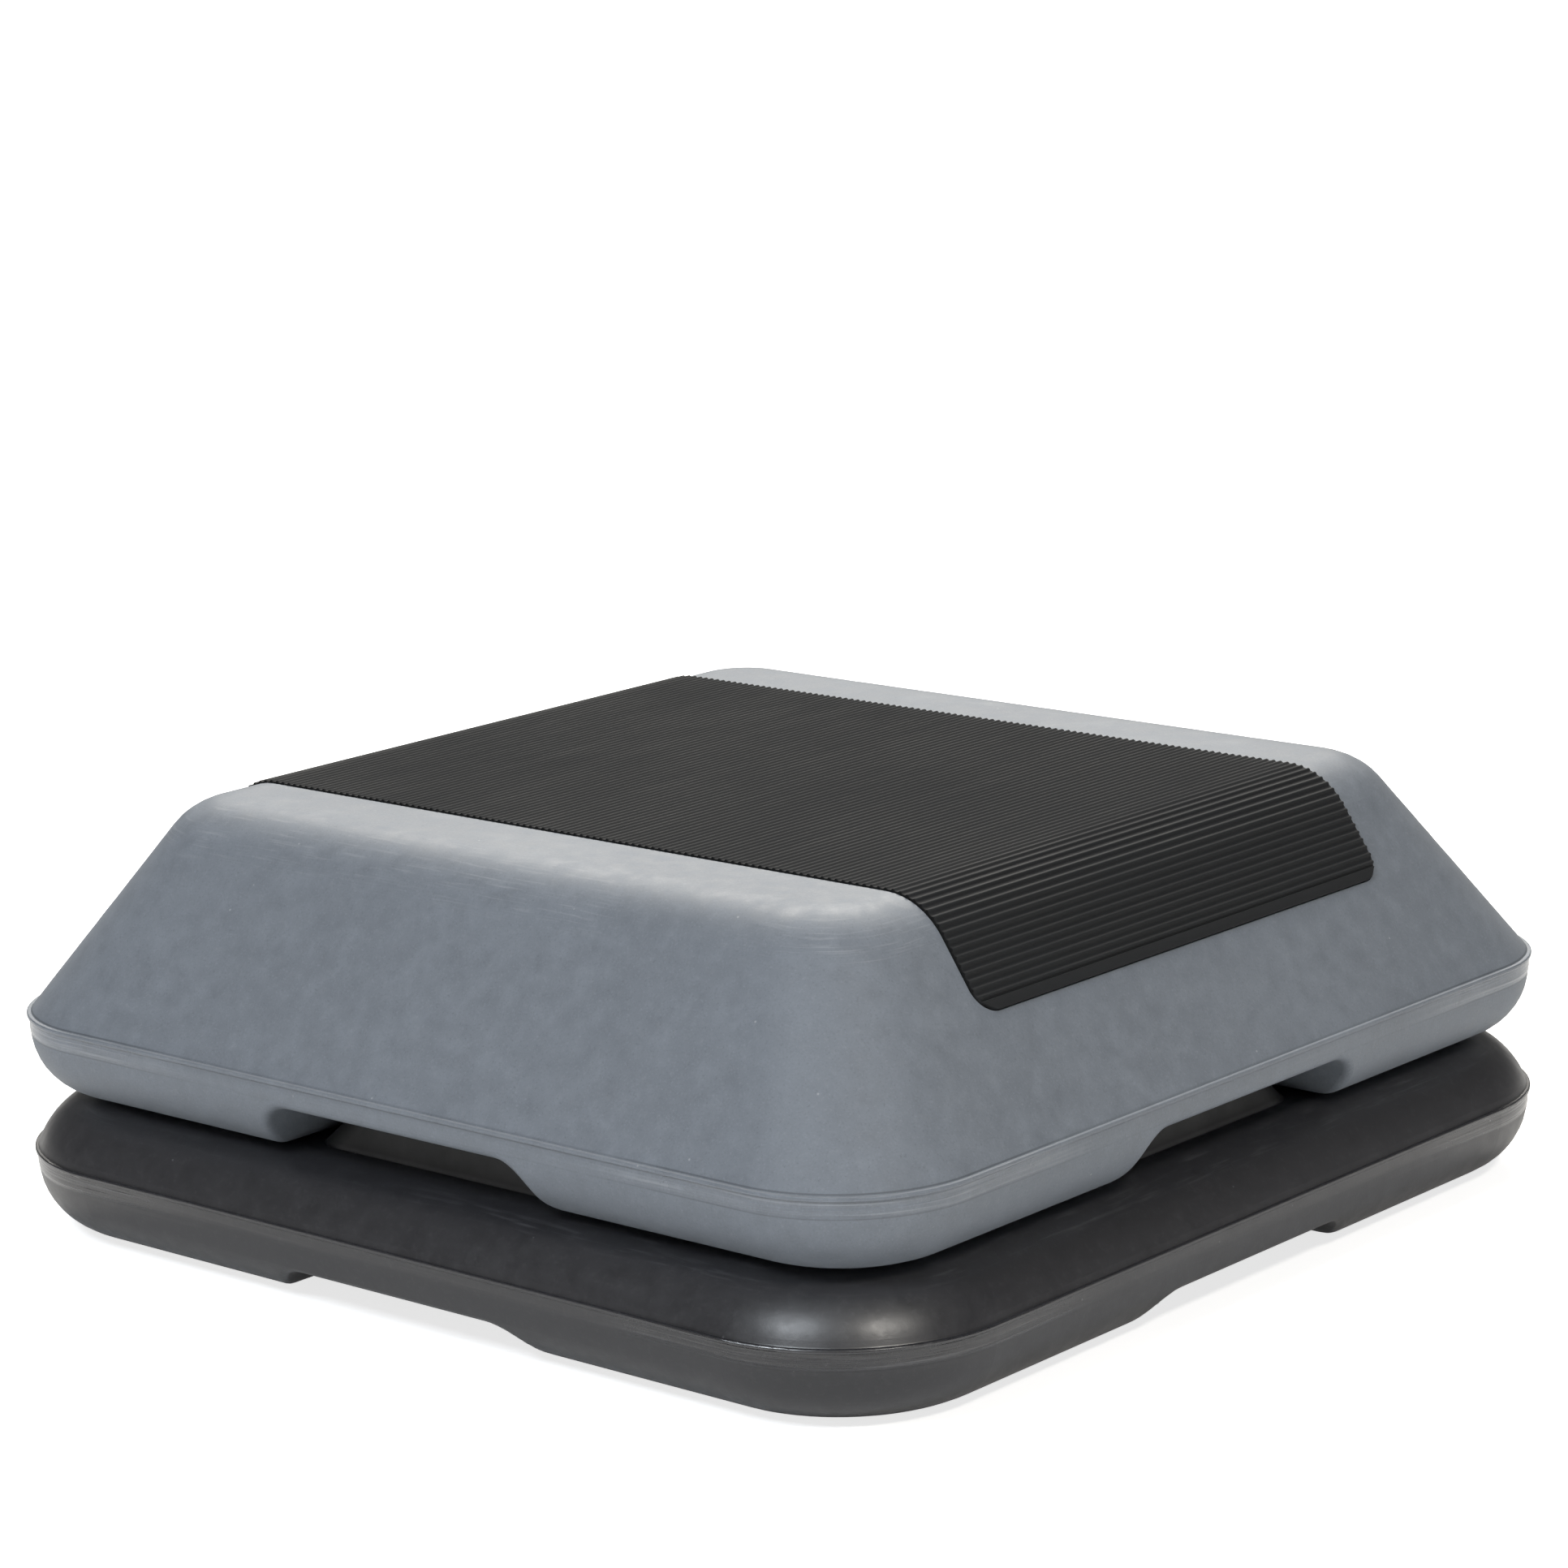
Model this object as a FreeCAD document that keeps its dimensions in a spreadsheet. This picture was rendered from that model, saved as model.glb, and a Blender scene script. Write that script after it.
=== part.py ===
import FreeCAD, Part
import math
import os
import Sketcher

Vector = FreeCAD.Vector
Rotation = FreeCAD.Rotation
Placement = FreeCAD.Placement
Constraint = Sketcher.Constraint

# Driving dimensions, in millimetres
SIZES = {
    # footprint of the grey platform, and how far the black riser under it stands out all round
    "platform_side": 406.4,
    "platform_corner_radius": 50.0,
    "riser_overhang": 3.3,
    "riser_corner_radius": 62.0,
    # hollow moulded walls and the parting line that runs round both units
    "shell_wall": 4.0,
    "band_height": 4.6,
    "lip_proud": 0.8,
    "lip_height": 1.6,
    "lip_edge_radius": 0.5,
    # skirt below the parting line: height, lean and the round under its lower edge
    "platform_skirt_height": 23.6,
    "platform_skirt_inset": 3.5,
    "platform_skirt_radius": 23.0,
    "riser_skirt_height": 23.6,
    "riser_skirt_inset": 4.0,
    "riser_skirt_radius": 24.0,
    "skirt_bend_radius": 8.0,
    # flank above the parting line: height, lean, plan corner at its top and the top edge
    "platform_flank_height": 73.5,
    "platform_flank_inset": 49.5,
    "platform_flank_corner_radius": 28.0,
    "platform_edge_radius": 27.0,
    "riser_flank_height": 19.0,
    "riser_flank_inset": 9.0,
    "riser_flank_corner_radius": 52.0,
    "riser_edge_radius": 28.0,
    # crossed channels between the four corner feet of each unit
    "platform_channel_half": 47.0,
    "platform_channel_run": 25.0,
    "platform_channel_depth": 19.0,
    "riser_channel_half": 42.0,
    "riser_channel_run": 28.0,
    "riser_channel_depth": 12.0,
    "channel_foot_dip": 1.0,
    "mouth_radius": 3.0,
    # raised cross on the riser that keys into the channels of the unit above
    "key_top_gap": 1.0,
    "key_side_gap": 8.0,
    "key_end_inset": 31.5,
    "key_draft": 12.0,
    "key_end_draft": 3.0,
    "key_corner_radius": 10.0,
    "key_edge_radius": 2.0,
    # hollow cones that join floor and deck inside each shell
    "cone_pitch_share": 0.2375,
    "cone_mouth_radius": 15.0,
    "cone_tip_radius": 8.0,
    # rubber feet and the sockets that hold them
    "platform_foot_inset": 57.2,
    "riser_foot_inset": 60.5,
    "foot_radius": 16.0,
    "foot_proud": 1.2,
    "foot_rim_radius": 0.8,
    "socket_depth": 2.8,
    "socket_clearance": 0.4,
    "stem_radius": 3.5,
    "stem_clearance": 0.2,
    "barb_flange": 1.2,
    "barb_clearance": 0.1,
    "barb_length": 6.0,
    "barb_tip_radius": 2.2,
    # needle hole that the hollow shells breathe through
    "vent_radius": 2.5,
    # ribbed rubber mat and its shallow bed
    "mat_length": 385.0,
    "mat_width": 224.0,
    "mat_corner_radius": 9.0,
    "mat_proud": 1.1,
    "mat_bed_depth": 1.0,
    "mat_bed_gap": 0.4,
    "mat_film": 0.15,
    "mat_border": 3.5,
    "mat_edge_drop": 0.5,
    "rib_pitch": 2.9,
    "rib_depth": 0.8,
    # how far a cutting body runs past what it cuts
    "overrun": 8.0,
    # how near an edge lies to a height to count as level with it
    "level_match": 0.01,
}

doc = FreeCAD.newDocument("aerobic_step")
sheet = doc.addObject("Spreadsheet::Sheet", "Sizes")
for row, (alias, value) in enumerate(SIZES.items(), start=1):
    sheet.set(f"A{row}", alias)
    sheet.set(f"B{row}", str(value))
    sheet.setAlias(f"B{row}", alias)
doc.recompute()


def cell(alias):
    """Name of a size as expressions write it."""
    return f"Sizes.{alias}"


def size(expression):
    """Present value of a size or of an expression of sizes."""
    return float(sheet.evalExpression(expression))


def make(kind, name, **bound):
    """New object of the document, with the given properties bound to expressions."""
    item = doc.addObject(kind, name)
    bind(item, **bound)
    return item


def bind(item, **bound):
    """Bind properties, written with two underscores for a dot, to expressions."""
    for prop, expression in bound.items():
        item.setExpression(prop.replace("__", "."), expression)


def drive(sketch, constraint, expression):
    """Add a dimension to a sketch and bind it to an expression."""
    index = sketch.addConstraint(constraint)
    sketch.setExpression(f"Constraints[{index}]", expression)


def cut(name, base, tool):
    """Take one object from another."""
    item = doc.addObject("Part::Cut", name)
    item.Base = base
    item.Tool = tool
    return item


def fuse(name, shapes):
    """Join objects into one solid."""
    item = doc.addObject("Part::MultiFuse", name)
    item.Shapes = shapes
    return item


def fillet(name, base, rounds):
    """Round the level edges of a base that lie at each given height with its radius."""
    doc.recompute()
    edges = []
    for height, radius in rounds:
        for index, edge in enumerate(base.Shape.Edges, start=1):
            box = edge.BoundBox
            if max(abs(box.ZMin - height), abs(box.ZMax - height)) < size(cell("level_match")):
                edges.append((index, radius, radius))
    item = doc.addObject("Part::Fillet", name)
    item.Base = base
    item.Edges = edges
    return item


# Heights and outlines of the two moulded units, as expressions
WALL = cell("shell_wall")
SEAT = " + ".join(cell(alias) for alias in
                  ("foot_proud", "riser_skirt_height", "band_height", "riser_flank_height"))
SIDE = {
    "platform": cell("platform_side"),
    "riser": f"({cell('platform_side')} + 2 * {cell('riser_overhang')})",
}
BOTTOM = {"riser": cell("foot_proud"), "platform": f"{SEAT} + {cell('foot_proud')}"}
KEY_HEIGHT = f"({cell('riser_channel_depth')} - {cell('key_top_gap')})"
FOOT_PLACE = {unit: f"({SIDE[unit]} / 2 - {cell(unit + '_foot_inset')})" for unit in SIDE}
CONE_PITCH = {unit: f"({SIDE[unit]} * {cell('cone_pitch_share')})" for unit in SIDE}


def levels(unit):
    """Heights of a unit's parting band, flank and top."""
    band = f"{BOTTOM[unit]} + {cell(unit + '_skirt_height')}"
    flank = f"{band} + {cell('band_height')}"
    return {"band": band, "flank": flank, "top": f"{flank} + {cell(unit + '_flank_height')}"}


def outlines(unit, wall):
    """Height, half width and corner radius of a unit's four sections, set in by a wall."""
    level = levels(unit)
    half = f"({SIDE[unit]} / 2 - {cell('lip_proud')})"
    bend = f"({cell(unit + '_corner_radius')} - {cell('lip_proud')})"
    skirt_inset = cell(unit + "_skirt_inset")
    skirt_height = cell(unit + "_skirt_height")
    flank_inset = cell(unit + "_flank_inset")
    flank_height = cell(unit + "_flank_height")
    flank_bend = cell(unit + "_flank_corner_radius")
    skirt_wall = f"({wall}) * sqrt(1 + ({skirt_inset} / {skirt_height})^2)"
    flank_wall = f"({wall}) * sqrt(1 + ({flank_inset} / {flank_height})^2)"
    skirt_left = f"(1 - ({wall}) / {skirt_height})"
    flank_left = f"(1 - ({wall}) / {flank_height})"
    low = f"{skirt_inset} * {skirt_left} + {skirt_wall}"
    high = f"{flank_inset} * {flank_left} + {flank_wall}"
    high_bend = f"{bend} + ({flank_bend} - {bend}) * {flank_left} - {flank_wall}"
    return (
        (f"{BOTTOM[unit]} + ({wall})", f"{half} - ({low})", f"{bend} - ({low})"),
        (level["band"], f"{half} - ({wall})", f"{bend} - ({wall})"),
        (level["flank"], f"{half} - ({flank_wall})", f"{bend} - ({flank_wall})"),
        (f"{level['top']} - ({wall})", f"{half} - ({high})", high_bend),
    )


def rounded_square(name, height, half, radius):
    """Level sketch of a square with round corners, centred on the vertical axis."""
    sketch = make("Sketcher::SketchObject", name, Placement__Base__z=height)
    reach = size(half)
    bend = size(radius)
    flat = reach - bend
    corners = ((flat, -flat), (flat, flat), (-flat, flat), (-flat, -flat))
    arcs = []
    for turn, (x, y) in enumerate(corners):
        start = (turn - 1) * math.pi / 2
        circle = Part.Circle(Vector(x, y, 0), Vector(0, 0, 1), bend)
        arcs.append(sketch.addGeometry(Part.ArcOfCircle(circle, start, start + math.pi / 2)))
    lines = []
    for turn, arc in enumerate(arcs):
        before = sketch.Geometry[arcs[turn - 1]].EndPoint
        lines.append(sketch.addGeometry(Part.LineSegment(before, sketch.Geometry[arc].StartPoint)))
    for turn in range(len(arcs)):
        sketch.addConstraint(Constraint("Tangent", lines[turn], 2, arcs[turn], 1))
        sketch.addConstraint(Constraint("Tangent", arcs[turn - 1], 2, lines[turn], 1))
        sketch.addConstraint(Constraint(("Horizontal", "Vertical")[turn % 2], lines[turn]))
    for arc in arcs[1:]:
        sketch.addConstraint(Constraint("Equal", arcs[0], arc))
    drive(sketch, Constraint("Radius", arcs[0], bend), radius)
    drive(sketch, Constraint("DistanceX", -1, 1, lines[1], 1, reach), half)
    drive(sketch, Constraint("DistanceY", -1, 1, lines[2], 1, reach), half)
    drive(sketch, Constraint("DistanceX", lines[3], 1, -1, 1, reach), half)
    drive(sketch, Constraint("DistanceY", lines[0], 1, -1, 1, reach), half)
    return sketch


def loft(name, sections):
    """Straight-sided solid through level sections."""
    item = doc.addObject("Part::Loft", name)
    item.Sections = sections
    item.Solid = True
    item.Ruled = True
    return item


def moulded_block(unit, name, wall):
    """Solid block of a unit: skirt, parting band and flank, with its long edges rounded."""
    sections = []
    for index, (height, half, radius) in enumerate(outlines(unit, wall)):
        sections.append(rounded_square(f"{name}_section_{index}", height, half, radius))
    doc.recompute()
    bottom, band, _, top = (size(outline[0]) for outline in outlines(unit, wall))
    inset = size(wall)
    skirt = fillet(f"{name}_skirt_rounded", loft(f"{name}_skirt", sections[:3]), (
        (bottom, size(cell(unit + "_skirt_radius")) - inset),
        (band, size(cell("skirt_bend_radius"))),
    ))
    deck = fillet(f"{name}_flank_rounded", loft(f"{name}_flank", sections[2:]), (
        (top, size(cell(unit + "_edge_radius")) - inset),
    ))
    return [skirt, deck]


def parting_lip(unit, name):
    """Fine ridge that the mould leaves round the parting line."""
    base = f"{levels(unit)['flank']} - {cell('lip_height')} / 2"
    sketch = rounded_square(f"{name}_outline", base, f"{SIDE[unit]} / 2",
                            cell(unit + "_corner_radius"))
    ridge = make("Part::Extrusion", f"{name}_ridge", LengthFwd=cell("lip_height"))
    ridge.Base = sketch
    ridge.DirMode = "Normal"
    ridge.Solid = True
    radius = size(cell("lip_edge_radius"))
    low = size(base)
    return fillet(name, ridge, ((low, radius), (low + size(cell("lip_height")), radius)))


ACROSS = {"x": Rotation(Vector(1, 1, 1), 120), "y": Rotation(Vector(1, 0, 0), 90)}


def channel(unit, name, along, wall):
    """Channel between the feet, with S-shaped sides, right through a unit along one axis."""
    foot = f"({BOTTOM[unit]} - {cell('channel_foot_dip')})"
    ceiling = f"({BOTTOM[unit]} + {cell(unit + '_channel_depth')} + ({wall}))"
    flat = f"({cell(unit + '_channel_half')} + ({wall}))"
    mouth = f"({flat} + {cell(unit + '_channel_run')})"
    sketch = doc.addObject("Sketcher::SketchObject", f"{name}_outline")
    sketch.Placement = Placement(Vector(0, 0, 0), ACROSS[along])
    top, inner, outer, low = (size(part) for part in (ceiling, flat, mouth, foot))
    below = low - size(cell("overrun"))
    sweep = 2 * math.atan((top - low) / (outer - inner))
    bend = (outer - inner) / 2 / math.sin(sweep)

    def arc(x, y, start, end):
        """Arc of the side's bend radius about a point."""
        circle = Part.Circle(Vector(x, y, 0), Vector(0, 0, 1), bend)
        return sketch.addGeometry(Part.ArcOfCircle(circle, start, end))

    def line(x_start, y_start, x_end, y_end):
        """Straight stretch between two points."""
        ends = Vector(x_start, y_start, 0), Vector(x_end, y_end, 0)
        return sketch.addGeometry(Part.LineSegment(*ends))

    square = math.pi / 2
    roof = line(-inner, top, inner, top)
    right = line(outer, low, outer, below)
    floor = line(outer, below, -outer, below)
    left = line(-outer, below, -outer, low)
    right_roof = arc(inner, top - bend, square - sweep, square)
    right_foot = arc(outer, low + bend, 3 * square - sweep, 3 * square)
    left_roof = arc(-inner, top - bend, square, square + sweep)
    left_foot = arc(-outer, low + bend, 3 * square, 3 * square + sweep)
    sketch.addConstraint([
        Constraint("Tangent", roof, 2, right_roof, 2),
        Constraint("Tangent", right_roof, 1, right_foot, 1),
        Constraint("Tangent", roof, 1, left_roof, 1),
        Constraint("Tangent", left_roof, 2, left_foot, 2),
        Constraint("Coincident", right_foot, 2, right, 1),
        Constraint("Coincident", right, 2, floor, 1),
        Constraint("Coincident", floor, 2, left, 1),
        Constraint("Coincident", left, 2, left_foot, 1),
        Constraint("Horizontal", roof),
        Constraint("Horizontal", floor),
        Constraint("Vertical", right),
        Constraint("Vertical", left),
        Constraint("Vertical", right_foot, 3, right_foot, 2),
        Constraint("Vertical", left_foot, 3, left_foot, 1),
        Constraint("Equal", right_roof, right_foot),
        Constraint("Equal", left_roof, left_foot),
    ])
    drive(sketch, Constraint("DistanceX", -1, 1, roof, 2, inner), flat)
    drive(sketch, Constraint("DistanceX", roof, 1, -1, 1, inner), flat)
    drive(sketch, Constraint("DistanceY", -1, 1, roof, 2, top), ceiling)
    drive(sketch, Constraint("DistanceX", -1, 1, right, 1, outer), mouth)
    drive(sketch, Constraint("DistanceX", left, 2, -1, 1, outer), mouth)
    drive(sketch, Constraint("DistanceY", -1, 1, right, 1, low), foot)
    drive(sketch, Constraint("DistanceY", -1, 1, left, 2, low), foot)
    drive(sketch, Constraint("DistanceY", right, 2, right, 1, low - below), cell("overrun"))
    item = make("Part::Extrusion", name, LengthFwd=f"{SIDE[unit]} + {cell('overrun')}")
    item.Base = sketch
    item.DirMode = "Normal"
    item.Symmetric = True
    item.Solid = True
    return item


def round_mouths(unit, name, base):
    """Round the edges of the channel mouths in a unit's sides."""
    doc.recompute()
    match = size(cell("level_match"))
    low = size(BOTTOM[unit])
    high = low + size(cell(unit + "_channel_depth"))
    inward = size(f"{SIDE[unit]} / 2 - 2 * {cell(unit + '_skirt_radius')}")
    radius = size(cell("mouth_radius"))
    edges = []
    for index, edge in enumerate(base.Shape.Edges, start=1):
        box = edge.BoundBox
        reach = max(abs(box.Center.x), abs(box.Center.y))
        if reach > inward and low + match < box.ZMax < high + match:
            edges.append((index, radius, radius))
    item = doc.addObject("Part::Fillet", name)
    item.Base = base
    item.Edges = edges
    return item


def key_bar(name, wall, turn):
    """One bar of the raised cross on the riser's seat, with leaning sides, set in by a wall."""
    mouth = f"({cell('riser_channel_half')} + {cell('riser_channel_run')})"
    half = f"({mouth} - {cell('key_side_gap')} - ({wall}))"
    reach = f"({SIDE['riser']} / 2 - {cell('key_end_inset')} - ({wall}))"
    crest = f"({half} - {cell('key_draft')})"
    end = f"({reach} - {cell('key_end_draft')})"
    bar = make("Part::Wedge", name, Placement__Base__z=f"{SEAT} - ({wall})",
               Xmin=f"-{half}", Xmax=half, X2min=f"-{crest}", X2max=crest,
               Zmin=f"-{reach}", Zmax=reach, Z2min=f"-{end}", Z2max=end,
               Ymin="0", Ymax=KEY_HEIGHT)
    bar.Placement = Placement(Vector(0, 0, 0), turn * Rotation(Vector(1, 0, 0), 90))
    doc.recompute()
    radius = size(f"{cell('key_corner_radius')} - ({wall})")
    corners = []
    for index, edge in enumerate(bar.Shape.Edges, start=1):
        if edge.BoundBox.ZLength > size(KEY_HEIGHT) / 2:
            corners.append((index, radius, radius))
    rounded = doc.addObject("Part::Fillet", f"{name}_rounded")
    rounded.Base = bar
    rounded.Edges = corners
    return rounded


def key_cross(name, wall):
    """Raised cross that keys between the feet of the unit above."""
    quarter = Rotation(Vector(0, 0, 1), 90)
    bars = [key_bar(f"{name}_along_y", wall, Rotation()), key_bar(f"{name}_along_x", wall, quarter)]
    crest = size(f"{SEAT} + {KEY_HEIGHT} - ({wall})")
    radius = size(cell("key_edge_radius"))
    return fillet(name, fuse(f"{name}_bars", bars), ((crest, radius),))


FULL_TURN = 360
GRID = [(column, line) for column in (-1, 0, 1) for line in (-1, 0, 1)]
CORNERS = {"front_left": (-1, -1), "front_right": (1, -1), "back_left": (-1, 1), "back_right": (1, 1)}


def deck_height(unit, column, line):
    """Height of the inner face of a unit's deck over one place of the cone grid."""
    if unit == "platform":
        return f"{levels(unit)['top']} - {WALL}"
    if column and line:
        return f"{SEAT} - {WALL}"
    return f"{SEAT} + {KEY_HEIGHT} - {WALL}"


def cones(unit, name, wall):
    """Hollow cones that rise from a unit's floor to its deck, grown by a wall."""
    items = []
    for index, (column, line) in enumerate(GRID):
        tip = f"{deck_height(unit, column, line)} - {WALL} / 2 + ({wall}) / 2"
        items.append(make(
            "Part::Cone", f"{name}_{index}",
            Radius1=f"{cell('cone_mouth_radius')} + ({wall})",
            Radius2=f"{cell('cone_tip_radius')} + ({wall})",
            Height=f"{tip} - ({BOTTOM[unit]})",
            Placement__Base__x=f"{column} * {CONE_PITCH[unit]}",
            Placement__Base__y=f"{line} * {CONE_PITCH[unit]}",
            Placement__Base__z=BOTTOM[unit],
        ))
    return items


def posts(unit, name, radius, low, high):
    """Upright cylinders at the four places of a unit's feet."""
    items = []
    for corner, (column, line) in CORNERS.items():
        items.append(make(
            "Part::Cylinder", f"{unit}_{name}_{corner}", Radius=radius, Height=f"{high} - ({low})",
            Placement__Base__x=f"{column} * {FOOT_PLACE[unit]}",
            Placement__Base__y=f"{line} * {FOOT_PLACE[unit]}",
            Placement__Base__z=low,
        ))
    return items


def moulded_shell(unit, extra_outside, extra_inside, extra_cuts):
    """Hollow unit: outer block less its cavity, channels, cones, foot sockets and vent."""
    bottom = BOTTOM[unit]
    socket = f"{bottom} + {cell('socket_depth')}"
    socket_radius = f"{cell('foot_radius')} + {cell('socket_clearance')}"
    inner_floor = f"{socket} + {WALL}"
    solid = fuse(f"{unit}_solid", moulded_block(unit, f"{unit}_block", "0")
                 + [parting_lip(unit, f"{unit}_lip")] + extra_outside)
    hollow = fuse(f"{unit}_hollow", moulded_block(unit, f"{unit}_core", WALL) + extra_inside)
    kept = fuse(f"{unit}_kept", [
        *(channel(unit, f"{unit}_inner_channel_{axis}", axis, WALL) for axis in ACROSS),
        *cones(unit, f"{unit}_cone_wall", WALL),
        *posts(unit, "socket_wall", f"{socket_radius} + {WALL}", bottom, inner_floor),
    ])
    cavity = cut(f"{unit}_cavity", hollow, kept)
    channels = fuse(f"{unit}_channels", [
        channel(unit, f"{unit}_channel_{axis}", axis, "0") for axis in ACROSS])
    channelled = cut(f"{unit}_channelled_block", solid, channels)
    block = round_mouths(unit, f"{unit}_rounded_block", channelled)
    vent = make("Part::Cylinder", f"{unit}_vent", Radius=cell("vent_radius"),
                Height=f"{cell(unit + '_channel_depth')} + {WALL} + {cell('overrun')}",
                Placement__Base__x=f"{CONE_PITCH[unit]} / 2", Placement__Base__z=bottom)
    taken = fuse(f"{unit}_taken", [
        *cones(unit, f"{unit}_cone", "0"),
        *posts(unit, "socket", socket_radius, f"{bottom} - {cell('overrun')}", socket),
        *posts(unit, "stem_hole", f"{cell('stem_radius')} + {cell('stem_clearance')}",
               bottom, f"{inner_floor} + {cell('overrun')}"),
        vent,
        *extra_cuts,
    ])
    return cut(f"{unit}_shell", cut(f"{unit}_open_block", block, taken), cavity)


def polygon(body, name, points):
    """Upright sketch of a closed outline whose corners are given as expressions."""
    sketch = body.newObject("Sketcher::SketchObject", name)
    upright = next(part for part in body.Origin.OriginFeatures if part.Role == "XZ_Plane")
    sketch.AttachmentSupport = (upright, [""])
    sketch.MapMode = "FlatFace"
    corners = [Vector(size(x), size(y), 0) for x, y in points]
    lines = []
    for start, end in zip(corners, corners[1:] + corners[:1]):
        lines.append(sketch.addGeometry(Part.LineSegment(start, end)))
    for index, line in enumerate(lines):
        sketch.addConstraint(Constraint("Coincident", lines[index - 1], 2, line, 1))
    for line, corner, (x, y) in zip(lines, corners, points):
        if x == "0":
            sketch.addConstraint(Constraint("PointOnObject", line, 1, -2))
        else:
            drive(sketch, Constraint("DistanceX", -1, 1, line, 1, corner.x), x)
        if y == "0":
            sketch.addConstraint(Constraint("PointOnObject", line, 1, -1))
        else:
            drive(sketch, Constraint("DistanceY", -1, 1, line, 1, corner.y), y)
    return sketch


def rubber_foot(unit, corner, floor):
    """Rubber foot: a disc that sits in its socket and a barbed stem that holds it there."""
    name = f"{unit}_foot_{corner}"
    column, line = CORNERS[corner]
    disc = f"({cell('foot_proud')} + {cell('socket_depth')})"
    barb = f"({disc} + {WALL} + {cell('barb_clearance')})"
    tip = f"({barb} + {cell('barb_length')})"
    radius = cell("foot_radius")
    stem = cell("stem_radius")
    body = doc.addObject("PartDesign::Body", name)
    outline = polygon(body, f"{name}_outline", (
        ("0", "0"), (radius, "0"), (radius, disc), (stem, disc), (stem, barb),
        (f"{stem} + {cell('barb_flange')}", barb), (cell("barb_tip_radius"), tip), ("0", tip),
    ))
    turned = body.newObject("PartDesign::Revolution", f"{name}_turned")
    turned.Profile = outline
    turned.ReferenceAxis = (outline, ["V_Axis"])
    turned.Angle = FULL_TURN
    doc.recompute()
    rim = [f"Edge{index}" for index, edge in enumerate(turned.Shape.Edges, start=1)
           if edge.BoundBox.ZMax < size(disc) / 2]
    rounded = body.newObject("PartDesign::Fillet", f"{name}_rim")
    rounded.Base = (turned, rim)
    bind(rounded, Radius=cell("foot_rim_radius"))
    bind(body, Placement__Base__x=f"{column} * {FOOT_PLACE[unit]}",
         Placement__Base__y=f"{line} * {FOOT_PLACE[unit]}", Placement__Base__z=floor)
    return body


class DeckSkin:
    """Upright section of the platform's deck: flat top, rounded edge and leaning flank."""

    def __init__(self):
        lean = math.atan(size(cell("platform_flank_inset")) / size(cell("platform_flank_height")))
        self.turn = math.pi / 2 - lean
        self.radius = size(cell("platform_edge_radius"))
        edge = size(f"{SIDE['platform']} / 2 - {cell('lip_proud')} - {cell('platform_flank_inset')}")
        self.flat = edge - self.radius * math.tan(self.turn / 2)
        self.bend = self.flat + self.radius * self.turn
        self.top = size(levels("platform")["top"])

    def point(self, run, rise):
        """Point at a distance along the skin from its middle, raised off it."""
        side = math.copysign(1, run)
        angle = min(max(abs(run) - self.flat, 0) / self.radius, self.turn)
        level = min(abs(run), self.flat)
        slide = max(abs(run) - self.bend, 0)
        reach = self.radius + rise
        x = level + reach * math.sin(angle) + slide * math.cos(angle)
        z = self.top - self.radius + reach * math.cos(angle) - slide * math.sin(angle)
        return Vector(side * x, 0, z)

    def edges(self, start, end, rise):
        """Edges along the skin between two runs, at a steady rise."""
        stops = [stop for stop in (-self.bend, -self.flat, self.flat, self.bend) if start < stop < end]
        runs = [start, *stops, end]
        found = []
        for low, high in zip(runs, runs[1:]):
            middle = (low + high) / 2
            ends = self.point(low, rise), self.point(high, rise)
            if self.flat < abs(middle) < self.bend:
                found.append(Part.Arc(ends[0], self.point(middle, rise), ends[1]).toShape())
            else:
                found.append(Part.LineSegment(*ends).toShape())
        return found


def path(points):
    """Straight edges through points."""
    return [Part.LineSegment(start, end).toShape() for start, end in zip(points, points[1:])]


def ribbed_edges(skin, half, proud):
    """Upper outline of the mat: a flat border at each end and round ribs between them."""
    pitch = size(cell("rib_pitch"))
    groove = proud - size(cell("rib_depth"))
    drop = size(cell("mat_edge_drop"))
    count = math.floor(2 * (half - size(cell("mat_border"))) / pitch)
    field = count * pitch / 2
    border = ((half, proud - drop), (half - drop, proud), (field, proud), (field, groove))
    found = path([skin.point(-run, rise) for run, rise in border])
    for index in range(count):
        start = index * pitch - field
        found.append(Part.Arc(skin.point(start, groove), skin.point(start + pitch / 2, proud),
                              skin.point(start + pitch, groove)).toShape())
    found += path([skin.point(run, rise) for run, rise in reversed(border)])
    return found


def skin_strip(low, upper_edges, half, width, corner):
    """Strip over the deck between a lower rise and upper edges, with its four corners rounded."""
    skin = DeckSkin()
    lower = skin.edges(-half, half, low)
    starts = upper_edges[0].firstVertex().Point, upper_edges[-1].lastVertex().Point
    ends = path([skin.point(-half, low), starts[0]]) + path([starts[1], skin.point(half, low)])
    wire = Part.Wire(Part.__sortEdges__([ends[0], *upper_edges, ends[1], *lower]))
    strip = Part.Face(wire).extrude(Vector(0, width, 0))
    strip.translate(Vector(0, -width / 2, 0))
    reach = corner + size(cell("overrun"))
    block = Part.makeBox(reach, reach, 2 * reach, Vector(-corner, -corner, -reach))
    pin = Part.makeCylinder(corner, 2 * reach, Vector(-corner, -corner, -reach))
    tool = block.cut(pin)
    down = Vector(math.cos(skin.turn), 0, -math.sin(skin.turn))
    out = Vector(math.sin(skin.turn), 0, math.cos(skin.turn))
    along = Vector(0, 1, 0)
    place = skin.point(half, 0) + along * (width / 2)
    tool.Placement = Placement(FreeCAD.Matrix(
        down.x, along.x, out.x, place.x,
        down.y, along.y, out.y, place.y,
        down.z, along.z, out.z, place.z))
    pair = [tool, tool.mirror(Vector(0, 0, 0), Vector(0, 1, 0))]
    return strip.cut(pair + [item.mirror(Vector(0, 0, 0), Vector(1, 0, 0)) for item in pair])


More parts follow.
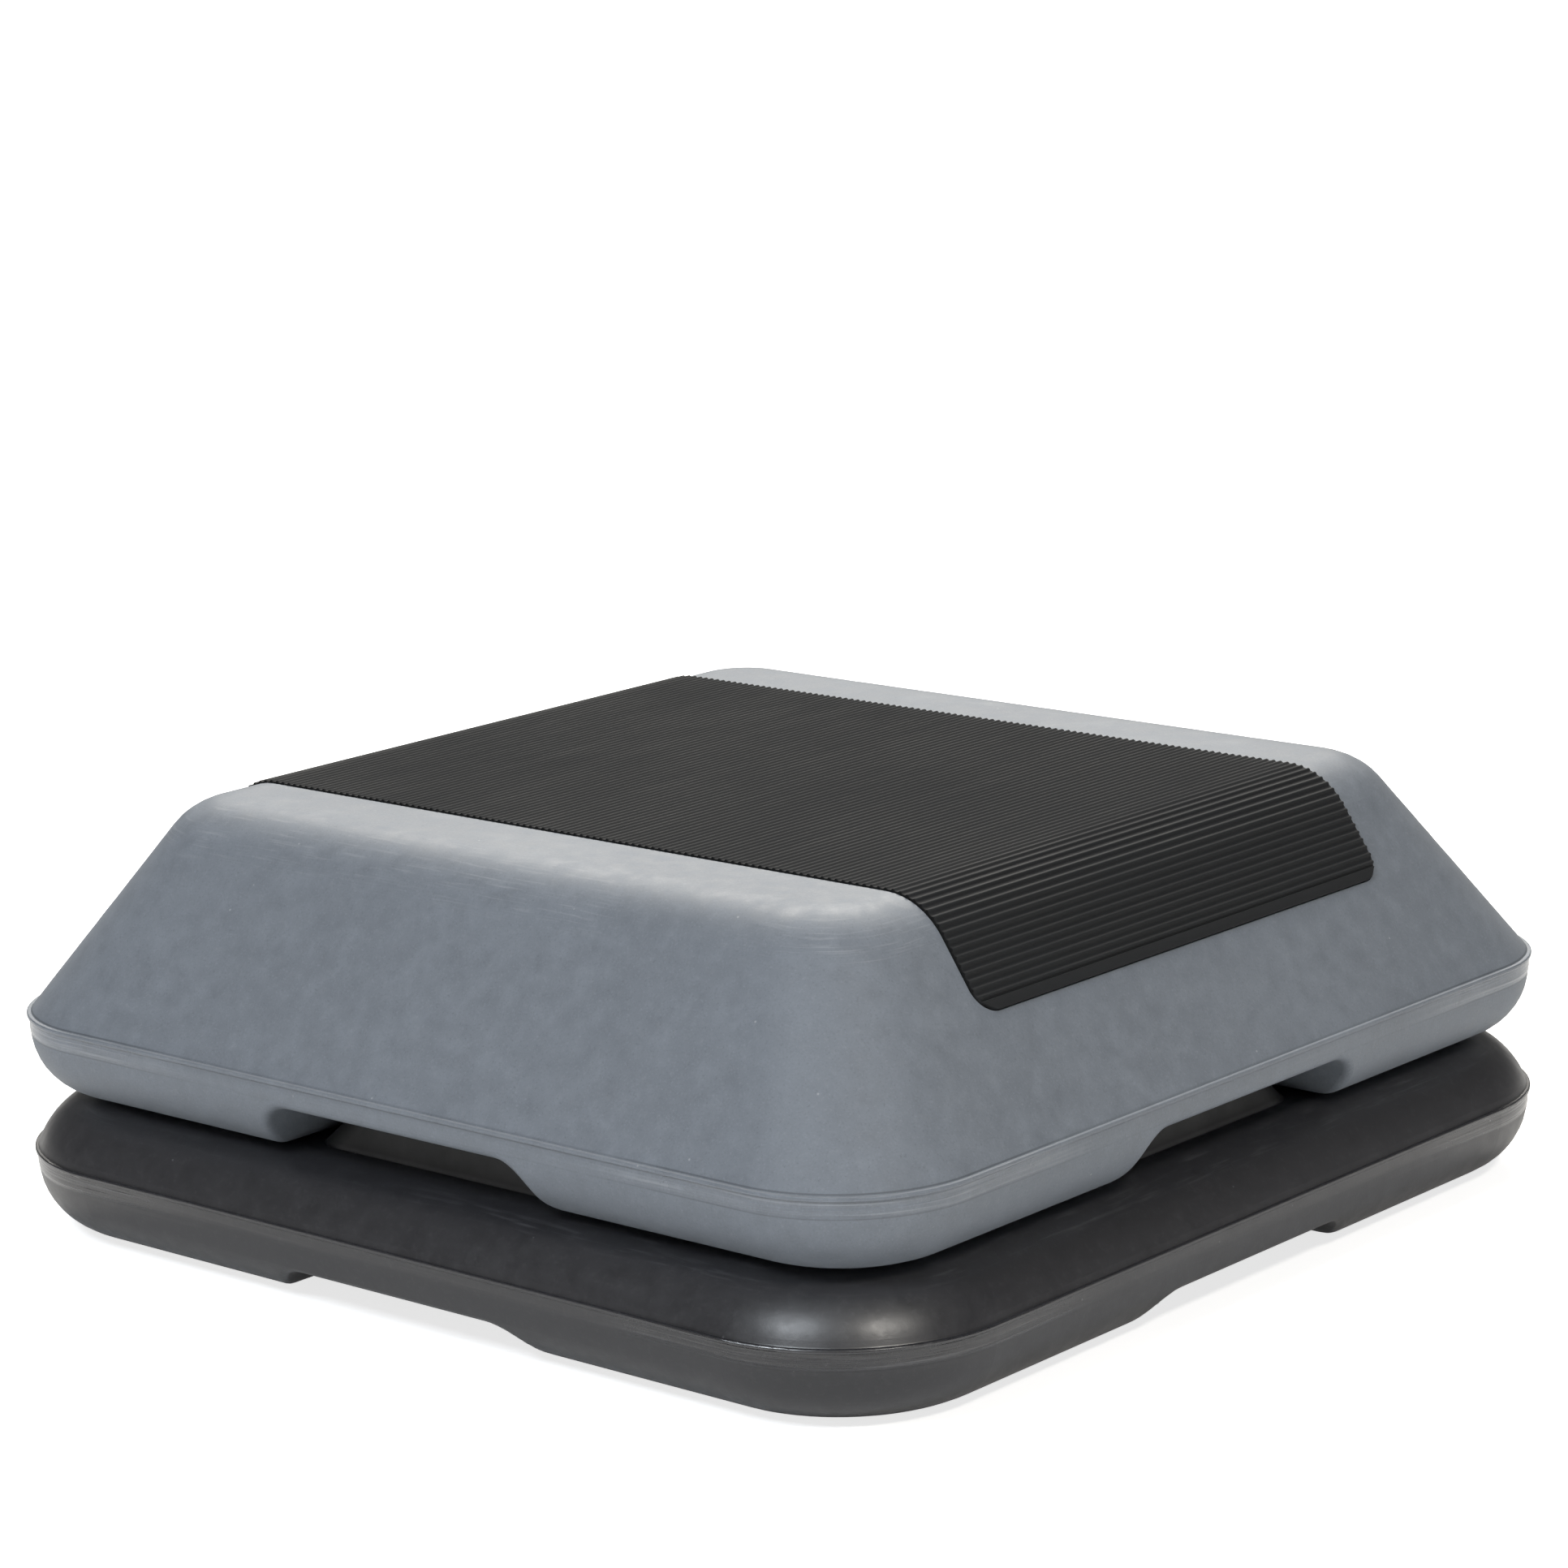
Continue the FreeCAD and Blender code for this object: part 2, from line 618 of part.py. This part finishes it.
def feature(name, shape):
    """Object of the document that holds a shape made from the sizes."""
    item = doc.addObject("Part::Feature", name)
    item.Shape = shape
    item.Placement = Placement()
    return item


def tread_mat():
    """Ribbed rubber mat that lies over the deck and down both flanks."""
    half = size(cell("mat_length")) / 2
    proud = size(cell("mat_proud"))
    low = size(f"{cell('mat_film')} - {cell('mat_bed_depth')}")
    edges = ribbed_edges(DeckSkin(), half, proud)
    return feature("tread_mat", skin_strip(low, edges, half, size(cell("mat_width")),
                                           size(cell("mat_corner_radius"))))


def mat_bed():
    """Shallow bed in the deck that the mat is stuck into."""
    gap = size(cell("mat_bed_gap"))
    half = size(cell("mat_length")) / 2 + gap
    edges = DeckSkin().edges(-half, half, size(cell("overrun")))
    return feature("mat_bed", skin_strip(-size(cell("mat_bed_depth")), edges, half,
                                         size(cell("mat_width")) + 2 * gap,
                                         size(cell("mat_corner_radius")) + gap))


# The object: two hollow units, the mat on the upper one and four feet under each
pieces = [
    moulded_shell("riser", [key_cross("riser_key", "0")], [key_cross("riser_key_core", WALL)], []),
    moulded_shell("platform", [], [], [mat_bed()]),
    tread_mat(),
]
for unit, floor in (("riser", "0"), ("platform", SEAT)):
    for corner in CORNERS:
        pieces.append(rubber_foot(unit, corner, floor))
doc.recompute()

failed = [item.Name for item in doc.Objects if {"Invalid", "Error"} & set(item.State)]
failed += [item.Label for item in pieces if item.Shape.isNull() or not item.Shape.isValid()]
if failed:
    raise RuntimeError("these objects failed: " + ", ".join(failed))
os.makedirs("parts", exist_ok=True)
for piece in pieces:
    piece.Shape.exportStep(f"parts/{piece.Label}.step")
    print(piece.Label, len(piece.Shape.Solids), "solid")
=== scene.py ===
import bpy
import math
from mathutils import Matrix, Vector


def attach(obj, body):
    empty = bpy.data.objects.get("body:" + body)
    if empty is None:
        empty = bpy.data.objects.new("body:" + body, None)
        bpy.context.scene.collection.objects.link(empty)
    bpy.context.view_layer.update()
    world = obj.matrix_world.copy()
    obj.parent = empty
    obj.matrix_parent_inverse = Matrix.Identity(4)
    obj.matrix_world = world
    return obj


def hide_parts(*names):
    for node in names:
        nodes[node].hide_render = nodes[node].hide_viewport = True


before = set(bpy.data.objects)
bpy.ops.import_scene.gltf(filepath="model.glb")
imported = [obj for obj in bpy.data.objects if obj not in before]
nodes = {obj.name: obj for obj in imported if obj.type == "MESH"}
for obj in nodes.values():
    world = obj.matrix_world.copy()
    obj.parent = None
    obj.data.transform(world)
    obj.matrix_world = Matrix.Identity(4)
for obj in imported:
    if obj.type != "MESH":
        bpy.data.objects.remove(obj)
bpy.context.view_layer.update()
MM = 0.001


def node_edge(label, pick, axis):
    """Least or greatest coordinate of a node along an axis at rest, in millimetres to a hundredth."""
    return round(pick(corner[axis] for corner in nodes[label].bound_box) / MM, 2)


# Sizes of the solids that the frame gives, in millimetres
DECK = node_edge("platform_shell", max, 2)
SEAT = node_edge("platform_foot_front_left", min, 2)
TOP = node_edge("tread_mat", max, 2)
MAT_WIDTH = 2 * node_edge("tread_mat", max, 1)
MAT_PROUD = round(TOP - DECK, 2)

# Sizes that repeat the part's source, in millimetres
LIP_PROUD = 0.8
BAND_HEIGHT = 4.6
FLANK_RUN = 49.5
FLANK_RISE = 73.5
RISER_FLANK_RISE = 19.0
EDGE_RADIUS = 27.0
MAT_HALF = 192.5
MAT_CORNER = 9.0
MAT_LOW = -0.85
RIB_PITCH = 2.9
RIB_DEPTH = 0.8

# Wear, painted shade and relief of the materials, in millimetres
LINE_HALF = 0.2
CREASE_OVER = 1.2
CREASE_UNDER = 2.0
RUBBED_OVER = 0.5
RUBBED_UNDER = 1.5
RUBBED_SOFT = 0.8
WORN_SOFT_SHARE = 0.3
CORNER_SHARES = (1.42, 1.66)
OVERHANG_SHADE_START = 0.4
OVERHANG_SHADE_END = 2.0
GRAIN_RELIEF = 0.03
WAVE_RELIEF = 0.3
STREAK_RELIEF = 0.6
RUBBER_RELIEF = 0.04
GAP_SHADE_START = 0.6
GAP_SHADE_END = 0.2


def unit_levels(shell, edge, flank_rise, worn, seat):
    """Half side of a unit, and the levels of its parting band, its worn edge and the seat over it."""
    flank = edge - flank_rise
    return {"half": node_edge(shell, max, 0) - LIP_PROUD, "band": flank - BAND_HEIGHT, "flank": flank,
            "edge": edge, "worn": worn, "seat": seat}


PLATFORM = unit_levels("platform_shell", DECK, FLANK_RISE, 14.0, TOP)
RISER = unit_levels("riser_shell", SEAT, RISER_FLANK_RISE, 5.0, SEAT)


# Shader helpers
def new_material(name):
    """Empty node material and its tree."""
    material = bpy.data.materials.new(name)
    material.use_nodes = True
    material.node_tree.nodes.clear()
    return material, material.node_tree


def add(tree, kind, sockets=None, **props):
    """New shader node: props are set on it, sockets are linked or given a value."""
    item = tree.nodes.new(kind)
    for key, value in props.items():
        setattr(item, key, value)
    for key, value in (sockets or {}).items():
        if isinstance(value, bpy.types.NodeSocket):
            tree.links.new(value, item.inputs[key])
        else:
            item.inputs[key].default_value = value
    return item


def noise(tree, place, scale, detail=3.0, roughness=0.55):
    """Noise value at a scale in features per metre."""
    item = add(tree, "ShaderNodeTexNoise",
               {"Vector": place, "Scale": scale, "Detail": detail, "Roughness": roughness})
    return item.outputs["Fac"]


def streaks(tree, place, along, across):
    """Noise drawn out into level streaks, in features per metre along and across them."""
    drawn = add(tree, "ShaderNodeMapping", {"Vector": place, "Scale": (along, along, across)})
    return noise(tree, drawn.outputs["Vector"], 1.0, 2.0, 0.6)


def stretch(tree, value, low, high, to_low=0.0, to_high=1.0, smooth=False):
    """Map a range of a value on another one, clamped."""
    item = add(tree, "ShaderNodeMapRange", {
        "Value": value, "From Min": low, "From Max": high, "To Min": to_low, "To Max": to_high},
        interpolation_type="SMOOTHSTEP" if smooth else "LINEAR")
    return item.outputs["Result"]


def math_node(tree, operation, first, second=0.0):
    """Arithmetic of two values."""
    return add(tree, "ShaderNodeMath", {0: first, 1: second}, operation=operation).outputs[0]


def times(tree, first, second):
    """Product of two values."""
    return math_node(tree, "MULTIPLY", first, second)


def plus(tree, first, second):
    """Sum of two values."""
    return math_node(tree, "ADD", first, second)


def tint(tree, factor, low, high):
    """Colour between two others."""
    item = add(tree, "ShaderNodeMix", {"Factor": factor}, data_type="RGBA")
    for index, colour in ((6, low), (7, high)):
        if isinstance(colour, bpy.types.NodeSocket):
            tree.links.new(colour, item.inputs[index])
        else:
            item.inputs[index].default_value = (*colour, 1.0)
    return item.outputs[2]


def scaled(colour, factor):
    """Colour made lighter or darker."""
    return tuple(part * factor for part in colour)


def window(tree, height, low, high, soft):
    """One between two levels in millimetres and zero beyond them, with soft ends."""
    rise = stretch(tree, height, (low - soft) * MM, (low + soft) * MM, smooth=True)
    fall = stretch(tree, height, (high - soft) * MM, (high + soft) * MM, 1.0, 0.0, smooth=True)
    return times(tree, rise, fall)


def surface(tree, tone, rough, relief, strength, sockets):
    """Principled shader with a bump, linked to the material's output."""
    bump = add(tree, "ShaderNodeBump", {"Strength": strength, "Distance": 1.0, "Height": relief})
    shader = add(tree, "ShaderNodeBsdfPrincipled", {
        "Base Color": tone, "Roughness": rough, "Normal": bump.outputs["Normal"], **sockets})
    add(tree, "ShaderNodeOutputMaterial", {"Surface": shader.outputs[0]})


# Materials
def clouded(tree, colour, cloud, mottle, grain):
    """Colour with wide clouds, and with mottle and grain that are lighter and darker."""
    tone = tint(tree, stretch(tree, cloud, 0.3, 0.7), scaled(colour, 0.95), scaled(colour, 1.05))
    for value, start, end, share, factor in (
            (mottle, 0.51, 0.72, 0.6, 1.20), (mottle, 0.49, 0.28, 0.6, 0.84),
            (grain, 0.58, 0.78, 0.7, 1.28), (grain, 0.42, 0.22, 0.7, 0.75)):
        tone = tint(tree, stretch(tree, value, start, end, 0.0, share), tone, scaled(colour, factor))
    return tone


def dusted(tree, place, tone, pale):
    """Tone with fine dust and sparse pale specks of regrind."""
    dust = noise(tree, place, 420.0, 3.0, 0.65)
    tone = tint(tree, stretch(tree, dust, 0.54, 0.74, 0.0, 0.07), tone, pale)
    cells = add(tree, "ShaderNodeTexVoronoi", {"Vector": place, "Scale": 170.0})
    dot = stretch(tree, cells.outputs["Distance"], 0.05, 0.09, 1.0, 0.0)
    chosen = add(tree, "ShaderNodeSeparateColor", {"Color": cells.outputs["Color"]})
    dot = times(tree, dot, stretch(tree, chosen.outputs["Red"], 0.9, 0.92))
    return tint(tree, times(tree, dot, 0.55), tone, pale)


def corner_share(tree, split, half):
    """Small along the sides of a unit and one at its corners."""
    far = plus(tree, *(math_node(tree, "ABSOLUTE", split.outputs[axis]) for axis in "XY"))
    start, end = (half * share * MM for share in CORNER_SHARES)
    return stretch(tree, far, start, end, 0.12, 1.0, smooth=True)


def moulded_plastic(name, colour, pale, gloss, shine, unit):
    """Blow-moulded polyethylene: cloudy tone, dust, a scuffed parting line with painted shade in its
    creases, a scratched edge, and painted shade on the walls over the seat.
    """
    material, tree = new_material(name)
    place = add(tree, "ShaderNodeTexCoord").outputs["Object"]
    split = add(tree, "ShaderNodeSeparateXYZ", {"Vector": place})
    height = split.outputs["Z"]
    cloud = noise(tree, place, 11.0)
    mottle = noise(tree, place, 130.0, 4.0, 0.62)
    grain = noise(tree, place, 1300.0, 2.0)
    tone = dusted(tree, place, clouded(tree, colour, cloud, mottle, grain), pale)
    # parting line: painted shade in the creases over and under the band, and streaked scuffs along it
    corner = corner_share(tree, split, unit["half"])
    for level, least, most, factor in ((unit["flank"] + CREASE_OVER, 0.12, 0.6, 0.3),
                                       (unit["band"] - CREASE_UNDER, 0.05, 0.4, 0.4)):
        painted_crease_shade = window(tree, height, level - LINE_HALF, level + LINE_HALF, LINE_HALF)
        painted_crease_mark = times(tree, painted_crease_shade, stretch(tree, corner, 0.0, 1.0, least, most))
        tone = tint(tree, painted_crease_mark, tone, scaled(colour, factor))
    streak = streaks(tree, place, 14.0, 800.0)
    zone = window(tree, height, unit["band"] - RUBBED_UNDER, unit["flank"] + RUBBED_OVER, RUBBED_SOFT)
    rubbed = times(tree, zone, corner)
    tone = tint(tree, times(tree, stretch(tree, streak, 0.52, 0.7, 0.0, 0.4), rubbed), tone, pale)
    # fine scratches round the upper edge, in patches
    hair = streaks(tree, place, 50.0, 1500.0)
    edge = window(tree, height, unit["edge"] - unit["worn"], unit["edge"], unit["worn"] * WORN_SOFT_SHARE)
    patch = times(tree, edge, stretch(tree, cloud, 0.4, 0.6))
    tone = tint(tree, times(tree, stretch(tree, hair, 0.54, 0.74, 0.0, 0.3), patch), tone, pale)
    # painted shade on the walls over the seat, under the overhang of the unit above them
    painted_overhang_shade = stretch(tree, height, (unit["seat"] + OVERHANG_SHADE_START) * MM,
                       (unit["seat"] + OVERHANG_SHADE_END) * MM, smooth=True)
    tone = tint(tree, painted_overhang_shade, tone, scaled(colour, 0.35))
    # sheen: cloudy, and glossier where the mould halves meet
    rough = stretch(tree, mottle, 0.3, 0.7, gloss * 0.86, gloss * 1.14)
    rough = times(tree, rough, stretch(tree, rubbed, 0.0, 1.0, 1.0, 0.4))
    rough = plus(tree, rough, times(tree, painted_overhang_shade, 0.25))
    # relief: grain of the mould, long waves of the moulding and drawn lines along the band
    wave = noise(tree, place, 26.0, 2.0)
    relief = plus(tree, times(tree, grain, GRAIN_RELIEF * MM), times(tree, wave, WAVE_RELIEF * MM))
    relief = plus(tree, relief, times(tree, times(tree, streak, rubbed), STREAK_RELIEF * MM))
    surface(tree, tone, rough, relief, 0.6, {"Specular IOR Level": shine})
    return material


def ribbed_rubber(name, colour, rim):
    """Black rubber with a dull cloudy bloom, and painted shade of the gap along its rim."""
    material, tree = new_material(name)
    place = add(tree, "ShaderNodeTexCoord").outputs["Object"]
    split = add(tree, "ShaderNodeSeparateXYZ", {"Vector": place})
    bloom = noise(tree, place, 17.0, 4.0)
    drawn = add(tree, "ShaderNodeMapping", {"Vector": place, "Scale": (300.0, 18.0, 300.0)})
    streak = noise(tree, drawn.outputs["Vector"], 1.0, 3.0)
    grain = noise(tree, place, 1600.0, 2.0)
    tone = tint(tree, stretch(tree, bloom, 0.3, 0.7), scaled(colour, 0.85), scaled(colour, 1.2))
    tone = tint(tree, stretch(tree, streak, 0.45, 0.75, 0.0, 0.5), tone, scaled(colour, 1.6))
    tone = tint(tree, stretch(tree, grain, 0.6, 0.8, 0.0, 0.5), tone, scaled(colour, 1.9))
    # painted shade: a dark strip at the rim for the gap between the mat's side and the deck
    across = math_node(tree, "ABSOLUTE", split.outputs["Y"])
    edge = stretch(tree, across, (rim - GAP_SHADE_START) * MM, (rim - GAP_SHADE_END) * MM)
    tone = tint(tree, edge, tone, scaled(colour, 0.2))
    rough = stretch(tree, plus(tree, bloom, streak), 0.7, 1.3, 0.74, 0.86)
    rough = plus(tree, rough, times(tree, edge, 0.14))
    relief = times(tree, grain, RUBBER_RELIEF * MM)
    surface(tree, tone, rough, relief, 0.5,
            {"Specular IOR Level": 0.40, "Specular Tint": (0.965, 0.985, 1.0, 1.0)})
    return material


def dress(item, material):
    """Give an object one material."""
    item.data.materials.clear()
    item.data.materials.append(material)


GREY = (0.190, 0.212, 0.245)
PALE_GREY = (0.42, 0.44, 0.47)
BLACK = (0.0245, 0.024, 0.0275)
PALE_BLACK = (0.20, 0.20, 0.21)
RUBBER = (0.0120, 0.0127, 0.0142)
grey_shell = moulded_plastic("grey_polyethylene", GREY, PALE_GREY, gloss=0.58, shine=0.5, unit=PLATFORM)
black_shell = moulded_plastic("black_polyethylene", BLACK, PALE_BLACK, gloss=0.40, shine=0.95, unit=RISER)
mat_rubber = ribbed_rubber("ribbed_rubber", RUBBER, MAT_WIDTH / 2)
# the feet get no painted gap shade: their rim is past them
foot_rubber = ribbed_rubber("foot_rubber", RUBBER, RISER["half"])

dress(nodes["platform_shell"], grey_shell)
dress(nodes["riser_shell"], black_shell)
for label, item in nodes.items():
    if "foot" in label:
        dress(item, foot_rubber)


# The mat: fine round ribs over the deck and down both flanks, with sizes in millimetres
TURN = math.pi / 2 - math.atan(FLANK_RUN / FLANK_RISE)
FLAT = PLATFORM["half"] - FLANK_RUN - EDGE_RADIUS * math.tan(TURN / 2)
BEND = FLAT + EDGE_RADIUS * TURN
MAT_BORDER = 3.5
FIELD_GAP = 0.3
RIB_STEPS = 12
CROWN_SHARE = 0.85
RIM_DROP = 0.55
RIM_RUN_OUT = 1.0
RIM_COLUMNS = 24
EDGE_DROP = 0.5
EDGE_STEP = 0.15
SHARP_ANGLE = math.radians(40.0)


def skin_point(run, rise, across):
    """Point over the deck at a distance along its section, raised off it, in metres."""
    side = math.copysign(1.0, run)
    angle = min(max(abs(run) - FLAT, 0.0) / EDGE_RADIUS, TURN)
    level = min(abs(run), FLAT)
    slide = max(abs(run) - BEND, 0.0)
    reach = EDGE_RADIUS + rise
    x = level + reach * math.sin(angle) + slide * math.cos(angle)
    z = DECK - EDGE_RADIUS + reach * math.cos(angle) - slide * math.sin(angle)
    return Vector((side * x, across, z)) * MM


def rib_rises():
    """Stations along the mat and the height of its upper face at each."""
    count = math.floor(2 * (MAT_HALF - MAT_BORDER) / RIB_PITCH)
    field = count * RIB_PITCH / 2
    border = [(MAT_HALF, EDGE_DROP), (MAT_HALF - EDGE_STEP, EDGE_STEP), (MAT_HALF - EDGE_DROP, 0.0),
              (field + FIELD_GAP, 0.0)]
    found = [(-run, drop) for run, drop in border]
    for index in range(count):
        for step in range(RIB_STEPS):
            off = step / RIB_STEPS - 0.5
            lean = math.pi / 2 * min(abs(off) * 2 / CROWN_SHARE, 1.0)
            found.append((-field + (index + 0.5 + off) * RIB_PITCH, RIB_DEPTH * math.sin(lean) ** 2))
    found.append((field, RIB_DEPTH))
    found += list(reversed(border))
    return [(run, MAT_PROUD - drop) for run, drop in found]


def half_width(run):
    """Half the mat's width at a station, less at its round corners."""
    past = max(abs(run) - (MAT_HALF - MAT_CORNER), 0.0)
    return MAT_WIDTH / 2 - MAT_CORNER + math.sqrt(max(MAT_CORNER ** 2 - past ** 2, 0.0))


def mat_row(run, rise):
    """Places across the mat at a station and their heights: side, rounded rim, face, rim, side."""
    reach = half_width(run)
    inner = reach - EDGE_DROP
    face = inner - RIM_RUN_OUT
    # the valleys run out towards the rim
    brim = max(rise, MAT_PROUD - RIM_DROP)
    rim = [(reach, MAT_LOW), (reach, brim - EDGE_DROP), (reach - EDGE_STEP, brim - EDGE_STEP), (inner, brim)]
    row = [(-across, height) for across, height in rim]
    row += [(-face + 2 * face * step / RIM_COLUMNS, rise) for step in range(RIM_COLUMNS + 1)]
    return row + list(reversed(rim))


def ribbed_mat():
    """Closed mesh of the mat: ribbed face, rounded rim, sides and back."""
    rows = [[skin_point(run, height, across) for across, height in mat_row(run, rise)]
            for run, rise in rib_rises()]
    width = len(rows[0])
    faces = []
    for row in range(len(rows) - 1):
        for column in range(width):
            after = (column + 1) % width
            faces.append((row * width + column, row * width + after,
                          (row + 1) * width + after, (row + 1) * width + column))
    faces.append(tuple(reversed(range(width))))
    faces.append(tuple(range((len(rows) - 1) * width, len(rows) * width)))
    mesh = bpy.data.meshes.new("ribbed_mat")
    mesh.from_pydata([point for row in rows for point in row], [], faces)
    mesh.validate()
    mesh.polygons.foreach_set("use_smooth", [True] * len(mesh.polygons))
    mesh.update()
    item = bpy.data.objects.new("ribbed_mat", mesh)
    bpy.context.scene.collection.objects.link(item)
    mesh.set_sharp_from_angle(angle=SHARP_ANGLE)
    return item


mat = ribbed_mat()
dress(mat, mat_rubber)
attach(mat, "platform")
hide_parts("tread_mat")


def outward(azimuth, elevation):
    """Direction from the object, with both angles in radians and azimuth 0 towards -Y."""
    return Vector((math.sin(azimuth) * math.cos(elevation), -math.cos(azimuth) * math.cos(elevation),
                   math.sin(elevation)))


# Camera at the photograph's viewing angle, from a fit of the outline
AZIMUTH = math.radians(40.507)
ELEVATION = math.radians(12.566)
ROLL = math.radians(-1.391)
TARGET = Vector((0.708, 0.603, 147.672)) * MM
DISTANCE = 1.7412
FOCAL_PIXELS = 6113.05
PHOTO_PIXELS = 1932
SENSOR = 36.0


def photo_camera():
    """Camera that stands where the photograph's did."""
    back = outward(AZIMUTH, ELEVATION)
    level = Vector((math.cos(AZIMUTH), math.sin(AZIMUTH), 0.0))
    upward = back.cross(level)
    right = level * math.cos(ROLL) + upward * math.sin(ROLL)
    top = upward * math.cos(ROLL) - level * math.sin(ROLL)
    lens = bpy.data.cameras.new("camera")
    lens.sensor_width = SENSOR
    lens.lens = SENSOR * (FOCAL_PIXELS / PHOTO_PIXELS)
    item = bpy.data.objects.new("camera", lens)
    bpy.context.scene.collection.objects.link(item)
    stand = Matrix((right, top, back)).transposed().to_4x4()
    stand.translation = TARGET + back * DISTANCE
    item.matrix_world = stand
    bpy.context.scene.camera = item


# Floor and light, in metres and watts
FLOOR_REACH = 40.0
LIGHT_AIM = Vector((0.0, 0.0, 0.08))
COOL = (0.88, 0.94, 1.0)
WARM = (1.0, 0.965, 0.90)
WHITE = (1.0, 1.0, 1.0, 1.0)


def studio_floor():
    """Wide pale floor that shows white to the camera and keeps a soft shadow."""
    mesh = bpy.data.meshes.new("floor")
    corners = [(x * FLOOR_REACH, y * FLOOR_REACH, 0) for x, y in ((-1, -1), (1, -1), (1, 1), (-1, 1))]
    mesh.from_pydata(corners, [], [(0, 1, 2, 3)])
    item = bpy.data.objects.new("floor", mesh)
    bpy.context.scene.collection.objects.link(item)
    material, tree = new_material("pale_floor")
    place = add(tree, "ShaderNodeTexCoord").outputs["Object"]
    tone = tint(tree, noise(tree, place, 3.0), (0.84, 0.84, 0.84), (0.86, 0.86, 0.86))
    matte = add(tree, "ShaderNodeBsdfDiffuse", {"Color": tone})
    far = add(tree, "ShaderNodeVectorMath", {0: place}, operation="LENGTH").outputs["Value"]
    strength = stretch(tree, far, 0.35, 1.2, 0.75, 1.0, smooth=True)
    glow = add(tree, "ShaderNodeEmission", {"Strength": strength})
    both = add(tree, "ShaderNodeAddShader", {0: matte.outputs[0], 1: glow.outputs[0]})
    rays = add(tree, "ShaderNodeLightPath")
    mirrored = times(tree, rays.outputs["Is Glossy Ray"], 0.14)
    seen = math_node(tree, "MAXIMUM", rays.outputs["Is Camera Ray"], mirrored)
    mixed = add(tree, "ShaderNodeMixShader", {0: seen, 1: matte.outputs[0], 2: both.outputs[0]})
    add(tree, "ShaderNodeOutputMaterial", {"Surface": mixed.outputs[0]})
    dress(item, material)


def softbox(name, azimuth, elevation, distance, size, power, colour):
    """Square soft light that looks at the object from a direction in degrees."""
    out = outward(math.radians(azimuth), math.radians(elevation))
    lamp = bpy.data.lights.new(name, "AREA")
    lamp.shape = "SQUARE"
    lamp.size = size
    lamp.energy = power
    lamp.color = colour
    item = bpy.data.objects.new(name, lamp)
    item.location = LIGHT_AIM + out * distance
    item.rotation_euler = out.to_track_quat("Z", "Y").to_euler()
    bpy.context.scene.collection.objects.link(item)


def studio_world():
    """Dim soft surroundings that show white to the camera."""
    world = bpy.data.worlds.new("studio")
    world.use_nodes = True
    tree = world.node_tree
    tree.nodes.clear()
    direction = add(tree, "ShaderNodeTexCoord").outputs["Generated"]
    rise = add(tree, "ShaderNodeSeparateXYZ", {"Vector": direction}).outputs["Z"]
    strength = stretch(tree, rise, 0.05, 0.8, 0.18, 0.10, smooth=True)
    soft = add(tree, "ShaderNodeBackground", {"Color": WHITE, "Strength": strength})
    white = add(tree, "ShaderNodeBackground", {"Color": WHITE, "Strength": 1.0})
    seen = add(tree, "ShaderNodeLightPath").outputs["Is Camera Ray"]
    mixed = add(tree, "ShaderNodeMixShader", {0: seen, 1: soft.outputs[0], 2: white.outputs[0]})
    add(tree, "ShaderNodeOutputWorld", {"Surface": mixed.outputs[0]})
    bpy.context.scene.world = world


photo_camera()
studio_floor()
softbox("soft_left", azimuth=6.5, elevation=41.0, distance=2.5, size=0.55, power=24.0, colour=COOL)
softbox("soft_right", azimuth=66.0, elevation=40.5, distance=2.5, size=0.25, power=18.5, colour=WARM)
softbox("soft_behind", azimuth=218.0, elevation=46.0, distance=4.0, size=2.5, power=195.0, colour=WARM)
studio_world()
bpy.context.scene.view_settings.view_transform = "Standard"
